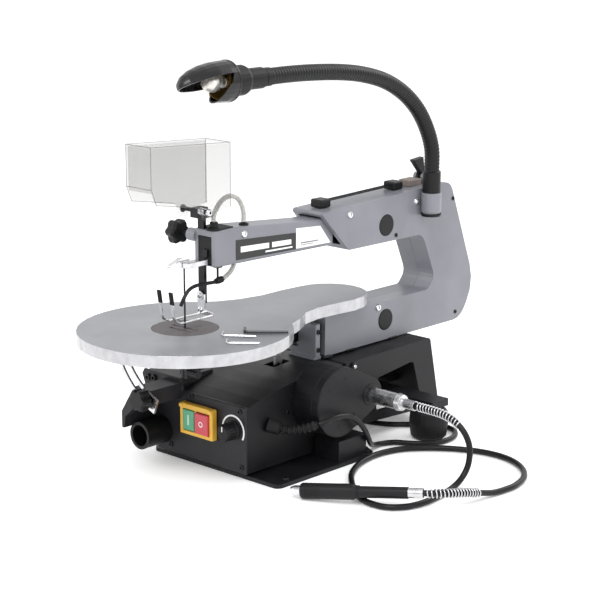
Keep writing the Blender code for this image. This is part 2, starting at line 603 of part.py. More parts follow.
def build_guard():
    """Clear hood, shown swung up; it swings down in front of the blade."""
    side = [(54, 384), (-65, 391), (-65, 345), (-58, 327.5), (6, 316), *circle(19, 309, 10, 8, 190, 160),
            (54, 311)]
    hood = plate("guard", side, "X", (-20, 20), "clear_plastic", axis_point=GUARD_HINGE)
    room = plate("guard_room", [(70, 381.2), (-63.2, 389.1), (-63.2, 290), (70, 290)], "X", (-18.4, 18.4))
    hinge = rod("guard_hinge_bore", (-30, *GUARD_HINGE[1:]), (30, *GUARD_HINGE[1:]), 2.8, sides=16)
    cut(hood, room, hinge)


HOSE_LOOP = [(8, 39, 286.5), (8, 39, 300), (8, 45, 311), (8, 54, 318), (8, 65, 320), (8, 76, 316),
             (8, 83, 307), (8, 86, 297), (8, 86, 288)]
HOSE_BELOW = [(8, 70, 241.5), (8, 68, 237), (8, 62, 231.5), (8, 54, 227.5), (8, 47.5, 225.6)]
NOZZLE = [(8, 47, 225.5), (8, 38, 225), (6.5, 28, 225), (5.5, 12, 224.8), (5, 2, 221.5), (4.6, -5, 214),
          (4, -10, 205)]


def build_blower():
    tube("air_hose_upper", HOSE_LOOP, 3.0, "clear_plastic", resolution=2, spacing=5)
    tube("air_hose_lower", HOSE_BELOW, 3.0, "clear_plastic", resolution=2, spacing=5)
    nozzle = tube("blower_nozzle", NOZZLE, 2.1, "black_moulding", resolution=2, spacing=5)
    join(nozzle, rod("nozzle_hanger", (8, 44, 225.4), (8, 44, 242.8), 1.3, sides=10))


# ---------------------------------------------------------------- lamp, tension lever, blade storage

GOOSENECK = [(387, 286), (387, 312), (386, 340), (375, 367), (356, 393), (329, 415), (295, 432), (255, 443),
             (215, 449), (170, 452.5), (128, 454), (88, 454)]
LAMP_Z = 454.0
SHADE_Z = 455.0
SHADE_RADIUS = 23.0


def build_lamp():
    bracket = turned("lamp_bracket", [(0, 26), (12.6, 26), (12.6, 3), (11.4, 0), (0, 0)],
                     (LAMP_X, LAMP_Y, 259),
                     (0, 0, 1), "cast_grey", steps=24)
    trim = block("lamp_bracket_trim", (20, FRAME_HALF + GAP), (360, 420), (250, 300))
    cut(bracket, trim)
    neck = tube("gooseneck", [(LAMP_X, y, z) for y, z in GOOSENECK], 9.7, "black_moulding", resolution=3,
                spacing=21, axis_point=(LAMP_X, LAMP_Y, 286))
    sleeve = rod("gooseneck_sleeve", (LAMP_X, LAMP_Y, 285.4), (LAMP_X, LAMP_Y, 312), 11.4, sides=24)
    join(neck, sleeve)
    turned("lamp_socket", [(0, 54), (16.4, 54), (17, 50), (17, 33), (15.5, 29), (12, 27), (12, 2), (10.2, 0),
                           (0, 0)], (LAMP_X, 87.5, LAMP_Z), (0, -1, 0), "black_moulding", steps=24,
           axis_point=(LAMP_X, 60, LAMP_Z))
    inner, outer = [], []
    for a in range(0, 91, 15):
        side, length = math.sin(math.radians(a)), math.cos(math.radians(a))
        outer.append((SHADE_RADIUS * side, 10 + 62 * length))
        inner.append(((SHADE_RADIUS - 1.6) * side, 10 + 60.4 * length))
    shade = turned("lamp_shade", outer + [(SHADE_RADIUS, 0), (15, 0), (15, 1.6), (SHADE_RADIUS - 1.6, 1.6)]
                   + inner[::-1], (LAMP_X, 33.2, SHADE_Z), (0, -1, 0), "black_moulding", steps=24,
                   axis_point=(LAMP_X, 33, SHADE_Z))
    mouth = plate("shade_mouth", [(25, 1), (-60, -4), (-60, -60), (4, -60), (7, -22), (14, -14), (21, -8)], "X",
                  (-60, 60))
    mouth.matrix_world = (Matrix.Translation(at(LAMP_X, 0, SHADE_Z)) @ Matrix.Rotation(math.radians(-28), 4,
                                                            "Y")
                          @ Matrix.Translation(-at(0, 0, 0)))
    cut(shade, mouth)
    turned("lamp_bulb", [(0, 35), (6, 33.4), (9.5, 28.6), (10.5, 22), (9.5, 15), (7, 8), (6.5, 0.2), (0, 0.2)],
           (LAMP_X, 33.2, SHADE_Z), (0, -1, 0), "clear_glass", steps=20)


def build_tension_lever():
    outline = [(408, LEVER_Z - 3), (410, LEVER_Z - 5), (414, LEVER_Z - 5), (416, LEVER_Z - 3), (416, 303),
               (414.5, 306),
               (412, 323), (391, 321), (405, 305), (408, 300)]
    lever = plate("tension_lever", outline, "X", (-3.6, 3.6), "black_moulding", bevel=0.8, segments=1,
                  axis_point=(0, 412, LEVER_Z))
    join(lever, rod("lever_pin", (-9, 412, LEVER_Z), (9, 412, LEVER_Z), 2.4, sides=12))


def build_blade_storage():
    for name, y, z in (("blade_storage_front", 224, 284.5), ("blade_storage_rear", 357, 288.9)):
        block(name, (-9, 9), (y - 9, y + 9), (z, z + 10), "black_moulding", bevel=1.6)


# ---------------------------------------------------------------- flexible shaft and mains cord

COUPLING_END = 169.0
FLEX_RADIUS = 3.6
FLEX_ROUTE = [(COUPLING_END + GAP, 203, 76), (190, 203, 76), (212, 203, 74.5), (230, 203, 68.5),
              (243, 203, 57), (249, 203, 42), (250, 199, 24), (249, 189, 11), (250, 172, 4.6),
              (254, 148, 3.9),
              (256, 116, 3.9), (251, 92, 3.9), (237, 76, 3.9), (219, 72, 3.9), (199, 76, 3.9),
              (180, 88, 3.9),
              (156, 108, 3.9), (133, 134, 3.9), (116, 168, 3.9), (110, 205, 3.9), (118, 239, 3.9),
              (138, 264, 3.9), (166, 285, 3.9), (200, 298, 3.9), (234, 297, 3.9), (264, 282, 3.9),
              (285, 258, 3.9), (295, 229, 3.9), (295, 207, 3.9), (293, 191, 4.5), (291, 176, 7.5),
              (290, 162, 11), (289, 148, 14.5), (286.5, 134, 17.2), (282.5, 119.5, 19.4), (275, 108, 20.5),
              (266.5, 102.8, 20.1)]
NOSE = Vector((142, 39, 9.2))
HANDPIECE_AXIS = Vector((0.886, 0.454, 0.077)).normalized()


def build_flexible_drive():
    turned("flex_coupling", [(4.6, 68.4), (5.8, 68.4), (5.8, 50), (9.4, 49.5), (10.6, 43), (9.6, 42),
                             (9.6, 5),
                             (8.6, 0), (4.6, 0), (4.6, 68.4)],
           (COUPLING_END - 68.4, PTO_Y, PTO_Z), (1, 0, 0), "bright_steel", steps=20)
    tube("flex_shaft", FLEX_ROUTE, FLEX_RADIUS, "black_rubber", resolution=1, spacing=18)
    turned("handpiece", [(0, 139), (5.2, 139), (5.6, 122), (6.6, 122), (6.6, 66), (9, 60), (9, 2), (7.6, 0),
                         (3.4, 0),
                         (3.4, 12), (0, 12)], tuple(NOSE), tuple(HANDPIECE_AXIS), "black_moulding", steps=24)
    turned("collet", [(0, 22), (3.1, 22), (3.1, 11.6), (6, 11.6), (6, 5), (4, 0), (1.2, 0), (1.2, 8),
                      (0, 8)],
           tuple(NOSE - 12 * HANDPIECE_AXIS), tuple(HANDPIECE_AXIS), "bright_steel", steps=18,
           axis_point=tuple(NOSE))


CORD_RADIUS = 3.3
CORD_ROUTE = [(105.8, 107.6, 62.3), (109.7, 113.5, 64.6), (112, 129, 67), (112, 150, 64), (112, 166, 55),
              (111, 180, 41), (106, 192, 27.5), (98, 205.5, 15.5), (89, 221, 7), (86.5, 239, 3.8),
              (95.5, 255, 3.6), (112, 264.5, 3.6), (126.5, 278, 3.6), (135, 297, 3.6), (132, 322, 3.6),
              (116, 341, 3.6), (91, 343, 3.6), (66, 325, 3.6), (40, 303, 3.6), (8, 293, 3.6), (-28, 299, 3.6),
              (-60, 321, 3.6), (-88, 341, 3.6), (-118, 345, 3.6), (-148, 331, 3.6), (-174, 303, 3.6),
              (-193, 270, 3.6), (-202.2, 238, 3.6), (-203, 215, 3.6)]
RELIEF_ROUTE = [(63, 75.5, 58.2), (70, 80.5, 56.3), (80, 86.5, 54.5), (92, 97, 57), (104.5, 106.3, 61.6)]
COIL_CENTRE = (-156, 220, 0)


def build_mains():
    relief = tube("strain_relief", RELIEF_ROUTE, 5.2, "black_rubber", resolution=2, spacing=12)
    join(relief, rod("relief_flange", (HOUSING_RIGHT + GAP, 74.5, 58.8), (66, 74.5, 58.8), 7.4, sides=20))
    tube("mains_cord", CORD_ROUTE, CORD_RADIUS, "black_rubber", resolution=1, spacing=18)
    turned("mains_coil", [(32, 13.4), (40, 13.4), (42.6, 10), (42.6, 3.6), (40, 0.3), (32, 0.3), (29.4, 3.6),
                          (29.4, 10), (32, 13.4)], COIL_CENTRE, (0, 0, 1), "black_rubber", steps=24)
    plug = turned("plug", [(0, 38), (13, 38), (15, 34), (15, 22), (9, 10), (6, 0), (0, 0)],
                  (-176, 156, 15.3),
                  (1, 0, 0), "black_rubber", steps=20)
    for y in (149.5, 162.5):
        join(plug, rod("plug_pin", (-142, y, 15.3), (-120, y, 15.3), 2.4, sides=12))


def build_all():
    build_base()
    build_rear_support()
    build_front_housing()
    build_front_panel()
    build_switch()
    build_motor()
    build_frame()
    build_upper_arm_housing()
    build_arms()
    build_blade_set()
    build_table()
    build_tilt_lock()
    build_trunnion()
    build_hold_down()
    build_guard()
    build_blower()
    build_lamp()
    build_tension_lever()
    build_blade_storage()
    build_flexible_drive()
    build_mains()


empty_the_scene()
parts = make_collection("scroll_saw")
cutters = make_collection("cutters")
build_all()
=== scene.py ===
# %% [markdown]
# # Scroll saw: looks
# A bench scroll saw with a C-frame, a round-fronted alloy table and a flexible drive shaft lying beside it.
# Lengths are in millimetres unless a name says otherwise.  Y is counted from the blade line; `place` turns
# such a point into world metres.

# %% Imports and the fixed frame
import json
import math

import bmesh
import bpy
from mathutils import Matrix, Vector

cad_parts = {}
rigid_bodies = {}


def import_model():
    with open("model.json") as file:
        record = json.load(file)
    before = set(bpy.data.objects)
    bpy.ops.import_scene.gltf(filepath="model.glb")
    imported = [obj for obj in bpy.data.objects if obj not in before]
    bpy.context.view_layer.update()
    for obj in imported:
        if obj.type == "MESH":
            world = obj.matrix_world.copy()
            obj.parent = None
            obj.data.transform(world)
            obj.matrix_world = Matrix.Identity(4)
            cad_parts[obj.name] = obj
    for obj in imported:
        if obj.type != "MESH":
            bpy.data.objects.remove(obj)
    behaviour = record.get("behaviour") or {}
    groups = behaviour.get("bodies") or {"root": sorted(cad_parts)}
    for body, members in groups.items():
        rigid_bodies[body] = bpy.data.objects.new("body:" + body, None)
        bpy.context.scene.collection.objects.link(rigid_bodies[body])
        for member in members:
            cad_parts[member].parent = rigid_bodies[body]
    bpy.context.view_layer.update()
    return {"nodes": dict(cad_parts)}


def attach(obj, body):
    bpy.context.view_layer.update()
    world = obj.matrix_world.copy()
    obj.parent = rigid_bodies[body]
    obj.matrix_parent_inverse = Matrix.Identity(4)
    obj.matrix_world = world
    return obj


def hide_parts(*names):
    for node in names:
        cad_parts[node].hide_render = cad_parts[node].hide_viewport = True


for old in list(bpy.data.objects):
    bpy.data.objects.remove(old, do_unlink=True)

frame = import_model()
nodes = frame["nodes"]
MM = 0.001
BLADE_Y = -0.186                            # world y of the blade line, in metres


def place(x, y, z):
    """World point, in metres, of a point in millimetres from the blade line."""
    return Vector((x * MM, y * MM + BLADE_Y, z * MM))


# %% [markdown]
# ## Camera and room
# A long lens from the operator's right, above the table, over a white studio floor.

# %% Camera
camera_data = bpy.data.cameras.new("camera")
camera_data.lens = 111
camera_data.sensor_width = 36
camera = bpy.data.objects.new("camera", camera_data)
camera.location = place(1472.1, -1374.1, 700.8)
camera.rotation_euler = (math.radians(76.3), 0, math.radians(43.3))
bpy.context.scene.collection.objects.link(camera)
bpy.context.scene.camera = camera

# %% Lights


def soft_light(name, position, target, size, power):
    """Square area light aimed at a point; all in metres and watts."""
    data = bpy.data.lights.new(name, "AREA")
    data.size = size
    data.energy = power
    light = bpy.data.objects.new(name, data)
    light.location = position
    aim = Vector(target) - Vector(position)
    light.rotation_euler = aim.to_track_quat("-Z", "Y").to_euler()
    bpy.context.scene.collection.objects.link(light)
    return light


middle = (0.03, 0.0, 0.18)
soft_light("key", (0.9, -1.5, 2.0), middle, 1.2, 32)
soft_light("fill", (-1.8, -1.2, 1.2), middle, 1.6, 10)
soft_light("rim", (0.4, 1.9, 1.5), middle, 1.2, 16)
soft_light("side", (2.2, 0.2, 0.8), middle, 1.2, 7)

world = bpy.data.worlds.new("studio")
world.use_nodes = True
world.node_tree.nodes["Background"].inputs["Color"].default_value = (1.0, 1.0, 1.0, 1.0)
world.node_tree.nodes["Background"].inputs["Strength"].default_value = 1.0
bpy.context.scene.world = world
bpy.context.scene.view_settings.view_transform = "Standard"
print("camera and lights set")


# %% [markdown]
# ## Finishes
# Each finish is built from its sRGB colour, a fine texture in real millimetres and a little variation in
# gloss, so that no surface is one flat value.

# %% Material helpers


def linear(code, alpha=1.0):
    """Linear colour of an sRGB hex code."""
    channels = [int(code[i:i + 2], 16) / 255 for i in (1, 3, 5)]
    return (*[c / 12.92 if c <= 0.04045 else ((c + 0.055) / 1.055) ** 2.4 for c in channels], alpha)


def new_finish(name, roughness, metallic=0.0, **sockets):
    """Material with its Principled shader's constant sockets set; gives (material, nodes, links, shader)."""
    material = bpy.data.materials.new(name)
    material.use_nodes = True
    tree = material.node_tree
    shader = tree.nodes["Principled BSDF"]
    shader.inputs["Roughness"].default_value = roughness
    shader.inputs["Metallic"].default_value = metallic
    for socket, value in sockets.items():
        shader.inputs[socket.replace("_", " ")].default_value = value
    return material, tree.nodes, tree.links, shader


def body_point(tree_nodes, links, stretch=(1, 1, 1)):
    """Object-space position in metres, stretched along its axes."""
    where = tree_nodes.new("ShaderNodeTexCoord")
    mapping = tree_nodes.new("ShaderNodeMapping")
    mapping.inputs["Scale"].default_value = stretch
    links.new(where.outputs["Object"], mapping.inputs["Vector"])
    return mapping.outputs["Vector"]


def noise(tree_nodes, links, point, size_mm, detail=3.0):
    """Noise whose blotches are about size_mm across."""
    texture = tree_nodes.new("ShaderNodeTexNoise")
    texture.inputs["Scale"].default_value = 1000.0 / size_mm
    texture.inputs["Detail"].default_value = detail
    links.new(point, texture.inputs["Vector"])
    return texture.outputs["Fac"]


def ramp(tree_nodes, links, factor, low, high, start=0.3, end=0.7):
    """Colour ramp between two colours."""
    band = tree_nodes.new("ShaderNodeValToRGB")
    band.color_ramp.elements[0].position = start
    band.color_ramp.elements[0].color = low
    band.color_ramp.elements[1].position = end
    band.color_ramp.elements[1].color = high
    links.new(factor, band.inputs["Fac"])
    return band.outputs["Color"]


def spread(tree_nodes, links, factor, low, high):
    """Value that follows a noise factor between two limits."""
    remap = tree_nodes.new("ShaderNodeMapRange")
    remap.inputs["From Min"].default_value = 0.3
    remap.inputs["From Max"].default_value = 0.7
    remap.inputs["To Min"].default_value = low
    remap.inputs["To Max"].default_value = high
    links.new(factor, remap.inputs["Value"])
    return remap.outputs["Result"]


def add_bump(tree_nodes, links, shader, height, depth_mm, strength=1.0):
    bump = tree_nodes.new("ShaderNodeBump")
    bump.inputs["Distance"].default_value = depth_mm * MM
    bump.inputs["Strength"].default_value = strength
    links.new(height, bump.inputs["Height"])
    links.new(bump.outputs["Normal"], shader.inputs["Normal"])


def textured(name, dark, light, roughness, grain_mm, depth_mm, patch_mm=35, spread_by=0.06,
             metallic=0.0, stretch=(1, 1, 1), strength=1.0, **sockets):
    """Opaque finish: two close colours in soft patches over a fine grain."""
    material, tree_nodes, links, shader = new_finish(name, roughness, metallic, **sockets)
    point = body_point(tree_nodes, links)
    patches = noise(tree_nodes, links, point, patch_mm)
    grain = noise(tree_nodes, links, body_point(tree_nodes, links, stretch), grain_mm)
    links.new(ramp(tree_nodes, links, patches, linear(dark), linear(light)), shader.inputs["Base Color"])
    links.new(spread(tree_nodes, links, patches, roughness - spread_by, roughness + spread_by),
              shader.inputs["Roughness"])
    add_bump(tree_nodes, links, shader, grain, depth_mm, strength)
    return material


# %% The finishes
cast_paint = textured("satin grey paint over cast alloy", "#707178", "#7D7E85", 0.36, 0.9, 0.05,
                      patch_mm=60, spread_by=0.05, strength=0.5)
brushed_alloy = textured("brushed cast aluminium", "#94959A", "#A9AAAD", 0.42, 0.35, 0.012, patch_mm=50,
                         metallic=0.85, stretch=(0.05, 1.0, 1.0), strength=0.5)
turned_rim = textured("turned aluminium rim", "#A8A8AB", "#C0C0C3", 0.3, 0.8, 0.03, patch_mm=14,
                      metallic=0.9, stretch=(0.2, 0.2, 2.0), strength=0.6)
moulded_black = textured("spark-eroded black nylon", "#0D0D0F", "#151517", 0.44, 0.45, 0.05, strength=0.6,
          Specular_IOR_Level=0.25)
case_black = textured("black ABS case", "#101012", "#18181B", 0.42, 0.5, 0.05, strength=0.6,
          Specular_IOR_Level=0.25)
panel_grey = textured("charcoal ABS panel", "#1E1E21", "#28282B", 0.46, 0.5, 0.05, strength=0.6,
          Specular_IOR_Level=0.25)
base_black = textured("black powder coat", "#0F0F11", "#19191C", 0.4, 0.9, 0.06, strength=0.6,
          Specular_IOR_Level=0.25)
insert_moulding = textured("taupe table insert", "#464143", "#524C4E", 0.5, 0.6, 0.04)
taupe_moulding = textured("taupe moulded block", "#6A6059", "#7A706A", 0.55, 0.5, 0.04)
soft_rubber = textured("matt black rubber", "#0D0D0F", "#151517", 0.6, 0.6, 0.05, strength=0.6,
          Specular_IOR_Level=0.25)
cord_rubber = textured("black PVC cord sheath", "#0C0C0E", "#141416", 0.36, 1.2, 0.03, strength=0.4,
          Specular_IOR_Level=0.25)
grip_rubber = textured("black handpiece sleeve", "#0F0F11", "#18181A", 0.42, 0.5, 0.04,
          Specular_IOR_Level=0.25)
zinc_steel = textured("bright zinc-plated steel", "#BDBDC0", "#DADADC", 0.27, 0.7, 0.02, patch_mm=8,
                      metallic=1.0, strength=0.4)
chrome = textured("polished chrome", "#D5D5D8", "#EDEDEF", 0.12, 1.5, 0.004, patch_mm=12, spread_by=0.03,
                  metallic=1.0, strength=0.2)
black_steel = textured("blackened steel bar", "#141416", "#202023", 0.34, 0.8, 0.03, patch_mm=10,
                       metallic=0.6)
blade_steel = textured("tempered blade steel", "#3A3A3D", "#4A4A4E", 0.35, 0.5, 0.02, patch_mm=6,
                       metallic=0.9)
socket_black = textured("oxide-black socket screw", "#161618", "#222226", 0.38, 0.5, 0.02, patch_mm=4,
                        metallic=0.5)
switch_yellow = textured("yellow switch bezel", "#D9A52F", "#E8B94A", 0.4, 0.5, 0.03)
button_green = textured("green push button", "#4E9A72", "#5BAA82", 0.35, 0.5, 0.03)
button_red = textured("red push button", "#BE3A48", "#CC4C58", 0.35, 0.5, 0.03)
print_white = textured("white screen print", "#E6E6E6", "#F4F4F4", 0.45, 0.5, 0.01)
label_black = textured("black label film", "#151517", "#1E1E20", 0.38, 0.8, 0.01)
label_white = textured("white label film", "#EDEDED", "#F8F8F8", 0.35, 0.8, 0.01)
label_grey = textured("grey print", "#77777A", "#8A8A8D", 0.4, 0.8, 0.01)
shade_enamel = textured("black enamelled shade", "#141214", "#201E20", 0.22, 1.4, 0.02, patch_mm=20,
                        Specular_IOR_Level=0.3, Coat_Weight=0.12, Coat_Roughness=0.15)
silvered_glass = textured("silvered bulb crown", "#C8C4BE", "#DEDAD4", 0.3, 1.2, 0.02, metallic=0.7)
reflector_gold = textured("gilt reflector cup", "#5E4A24", "#80672F", 0.3, 1.2, 0.02, metallic=0.8)
# Painted shade: a near-black for openings and recesses that look dark only because they lie in shadow.
recess_shade_paint = textured("shadowed recess", "#080809", "#0E0E10", 0.8, 1.0, 0.02)


def clear_moulding(name, dark, light, roughness, transmission=0.0, alpha=0.3):
    """Clear plastic or glass with a faint unevenness in its gloss."""
    material, tree_nodes, links, shader = new_finish(name, roughness, IOR=1.45,
                                                     Transmission_Weight=transmission,
                                                     Alpha=alpha, Coat_Weight=0.3)
    point = body_point(tree_nodes, links)
    haze = noise(tree_nodes, links, point, 30)
    links.new(ramp(tree_nodes, links, haze, linear(dark), linear(light)), shader.inputs["Base Color"])
    links.new(spread(tree_nodes, links, haze, roughness, roughness + 0.08), shader.inputs["Roughness"])
    return material


guard_clear = clear_moulding("clear acrylic guard", "#45413F", "#4E4A48", 0.07, alpha=0.2)
hose_clear = clear_moulding("clear vinyl hose", "#A6A49F", "#B6B4B0", 0.16, alpha=0.5)
bulb_glass = clear_moulding("clear bulb glass", "#D8D8D4", "#E6E6E2", 0.04, transmission=0.6, alpha=0.5)
guard_edge = clear_moulding("cut edge of the clear guard", "#5E5A58", "#6A6664", 0.3, alpha=0.5)
print(len(bpy.data.materials), "materials")

# %% [markdown]
# ## Shape helpers
# One function adds a finished mesh to a body; the rest make a mesh of one kind each.

# %% Shape helpers


def add(name, shape, material, body, bevel=0.0, replaces=()):
    """Add a bmesh or a curve as one piece that rides on a body."""
    if isinstance(shape, bmesh.types.BMesh):
        bmesh.ops.recalc_face_normals(shape, faces=shape.faces)
        data = bpy.data.meshes.new(name)
        shape.to_mesh(data)
        shape.free()
        data.shade_smooth()
        data.set_sharp_from_angle(angle=math.radians(38))
    else:
        data = shape
    data.materials.append(material)
    piece = bpy.data.objects.new(name, data)
    bpy.context.scene.collection.objects.link(piece)
    if bevel:
        soften(piece, bevel)
    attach(piece, body)
    if replaces:
        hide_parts(*replaces)
    return piece


def soften(piece, width_mm, segments=2, angle=35):
    """Round the hard edges, as a moulding or a casting has them."""
    rounding = piece.modifiers.new("edge rounding", "BEVEL")
    rounding.width = width_mm * MM
    rounding.segments = segments
    rounding.limit_method = "ANGLE"
    rounding.angle_limit = math.radians(angle)
    rounding.harden_normals = True
    rounding.use_clamp_overlap = True


def box(x, y, z):
    """Box between two values on each axis."""
    shape = bmesh.new()
    bmesh.ops.create_cube(shape, size=1.0)
    low, high = place(x[0], y[0], z[0]), place(x[1], y[1], z[1])
    bmesh.ops.scale(shape, vec=high - low, verts=shape.verts)
    bmesh.ops.translate(shape, vec=(low + high) / 2, verts=shape.verts)
    return shape


def arc(u, v, radius, sides, start=0.0, sweep=360.0):
    """Points on a circle or an arc."""
    count = sides if sweep >= 360 else sides + 1
    return [(u + radius * math.cos(math.radians(start + sweep * i / sides)),
             v + radius * math.sin(math.radians(start + sweep * i / sides))) for i in range(count)]


def slab(outline, along, span):
    """Extruded outline: (y, z) points for X, (x, z) for Y and (x, y) for Z."""
    order = {"X": lambda u, v, w: place(w, u, v), "Y": lambda u, v, w: place(u, w, v),
             "Z": lambda u, v, w: place(u, v, w)}[along]
    shape = bmesh.new()
    rings = [[shape.verts.new(order(u, v, w)) for u, v in outline] for w in span]
    shape.faces.new(rings[0])
    shape.faces.new(rings[1])
    for i in range(len(outline)):
        shape.faces.new((rings[0][i - 1], rings[0][i], rings[1][i], rings[1][i - 1]))
    return shape


def turned(profile, base, towards, steps=40):
    """Turned shape: (radius, height) pairs; heights run from the base along towards."""
    shape = bmesh.new()
    rings = []
    for radius, height in profile:
        if radius < 1e-6:
            rings.append([shape.verts.new((0, 0, height * MM))])
            continue
        rings.append([shape.verts.new((radius * MM * math.cos(2 * math.pi * i / steps),
                                       radius * MM * math.sin(2 * math.pi * i / steps), height * MM))
                      for i in range(steps)])
    for low, high in zip(rings, rings[1:]):
        for i in range(steps):
            corners = [low[i - 1 if len(low) > 1 else 0], low[i if len(low) > 1 else 0],
                       high[i if len(high) > 1 else 0], high[i - 1 if len(high) > 1 else 0]]
            distinct = list(dict.fromkeys(corners))
            if len(distinct) > 2:
                shape.faces.new(distinct)
    turn = Vector(towards).to_track_quat("Z", "Y").to_matrix().to_4x4()
    bmesh.ops.transform(shape, matrix=Matrix.Translation(place(*base)) @ turn, verts=shape.verts)
    return shape


def smooth_route(points, spacing):
    """Points on one smooth curve through the given ones, about spacing millimetres apart."""
    knots = [Vector(p) for p in points]
    knots = [2 * knots[0] - knots[1]] + knots + [2 * knots[-1] - knots[-2]]
    fine = []
    for a, b, c, d in zip(knots, knots[1:], knots[2:], knots[3:]):
        for i in range(24):
            t = i / 24
            fine.append(0.5 * (2 * b + (c - a) * t + (2 * a - 5 * b + 4 * c - d) * t ** 2
                               + (3 * b - a - 3 * c + d) * t ** 3))
    fine.append(knots[-2])
    lengths = [0.0]
    for a, b in zip(fine, fine[1:]):
        lengths.append(lengths[-1] + (b - a).length)
    count = max(2, round(lengths[-1] / spacing))
    route, index = [], 0
    for i in range(count + 1):
        target = lengths[-1] * i / count
        while index < len(lengths) - 2 and lengths[index + 1] < target:
            index += 1
        share = (target - lengths[index]) / max(lengths[index + 1] - lengths[index], 1e-9)
        route.append(fine[index].lerp(fine[index + 1], min(max(share, 0.0), 1.0)))
    return route


def route_length(route):
    return sum((b - a).length for a, b in zip(route, route[1:]))


def carried_frames(route):
    """Tangent, side and up at each point, carried along the route without a twist."""
    tangents = []
    for i in range(len(route)):
        tangents.append((route[min(i + 1, len(route) - 1)] - route[max(i - 1, 0)]).normalized())
    side = tangents[0].orthogonal().normalized()
    frames = []
    for tangent in tangents:
        side = (side - tangent * side.dot(tangent)).normalized()
        frames.append((tangent, side, tangent.cross(side)))
    return frames


def swept(route, radius_at, sides=16):
    """Round tube along a route; radius_at takes the distance from its start, in millimetres."""
    shape = bmesh.new()
    rings, distance = [], 0.0
    for i, (here, (_, side, up)) in enumerate(zip(route, carried_frames(route))):
        if i:
            distance += (here - route[i - 1]).length
        radius = radius_at(distance)
        rings.append([shape.verts.new(place(*(here + side * radius * math.cos(2 * math.pi * k / sides)
                                              + up * radius * math.sin(2 * math.pi * k / sides))))
                      for k in range(sides)])
    for low, high in zip(rings, rings[1:]):
        for k in range(sides):
            shape.faces.new((low[k - 1], low[k], high[k], high[k - 1]))
    shape.faces.new(rings[0])
    shape.faces.new(rings[-1])
    return shape


def wire(name, route, radius, cyclic=False):
    """Curve with a round section, for springs, cords and wires."""
    curve = bpy.data.curves.new(name, "CURVE")
    curve.dimensions = "3D"
    curve.bevel_depth = radius * MM
    curve.bevel_resolution = 3
    curve.use_fill_caps = True
    spline = curve.splines.new("POLY")
    spline.points.add(len(route) - 1)
    spline.use_cyclic_u = cyclic
    for point, here in zip(spline.points, route):
        point.co = (*place(*here), 1.0)
    return curve


def coil_round(route, radius, pitch, start, end, steps=14):
    """Helix that follows a route between two distances from its start."""
    frames = carried_frames(route)
    turns, distance = [], 0.0
    for i in range(1, len(route)):
        step = route[i] - route[i - 1]
        count = max(1, math.ceil(step.length / pitch * steps))
        for k in range(count):
            here = distance + step.length * k / count
            if start <= here <= end:
                angle = 2 * math.pi * here / pitch
                _, side, up = frames[i]
                turns.append(route[i - 1] + step * k / count + side * radius * math.cos(angle)
                             + up * radius * math.sin(angle))
        distance += step.length
    return turns


def screw(name, spot, towards, radius, material, body, kind="socket", height=None):
    """Screw head on a face: a domed cross head, a flat socket head or a hexagon."""
    tall = height or radius * 0.7
    heads = {
        "cross": [(0, 0), (radius, 0), (radius, tall * 0.3), (radius * 0.8, tall * 0.8),
                  (radius * 0.34, tall), (radius * 0.34, tall * 0.35), (0, tall * 0.35)],
        "socket": [(0, 0), (radius, 0), (radius, tall * 0.75), (radius * 0.85, tall),
                   (radius * 0.5, tall), (radius * 0.5, tall * 0.3), (0, tall * 0.3)],
        "hex": [(0, 0), (radius, 0), (radius, tall * 0.85), (radius * 0.88, tall), (0, tall)],
    }
    steps = {"cross": 24, "socket": 24, "hex": 6}[kind]
    return add(name, turned(heads[kind], spot, towards, steps), material, body)


print("helpers ready")

# %% [markdown]
# ## The frame's own parts
# Parts that the frame already has in their final shape get their finish and a small edge rounding.

# %% Finish the fixed parts


def dress(name, material, bevel=0.5, segments=2):
    """Give a frame part its finish and rounded edges."""
    part = nodes[name]
    part.data.materials.clear()
    part.data.materials.append(material)
    if "custom_normal" in part.data.attributes:
        part.data.attributes.remove(part.data.attributes["custom_normal"])
    weld = part.modifiers.new("weld", "WELD")
    weld.merge_threshold = 0.000002
    if bevel:
        soften(part, bevel, segments)
    return part


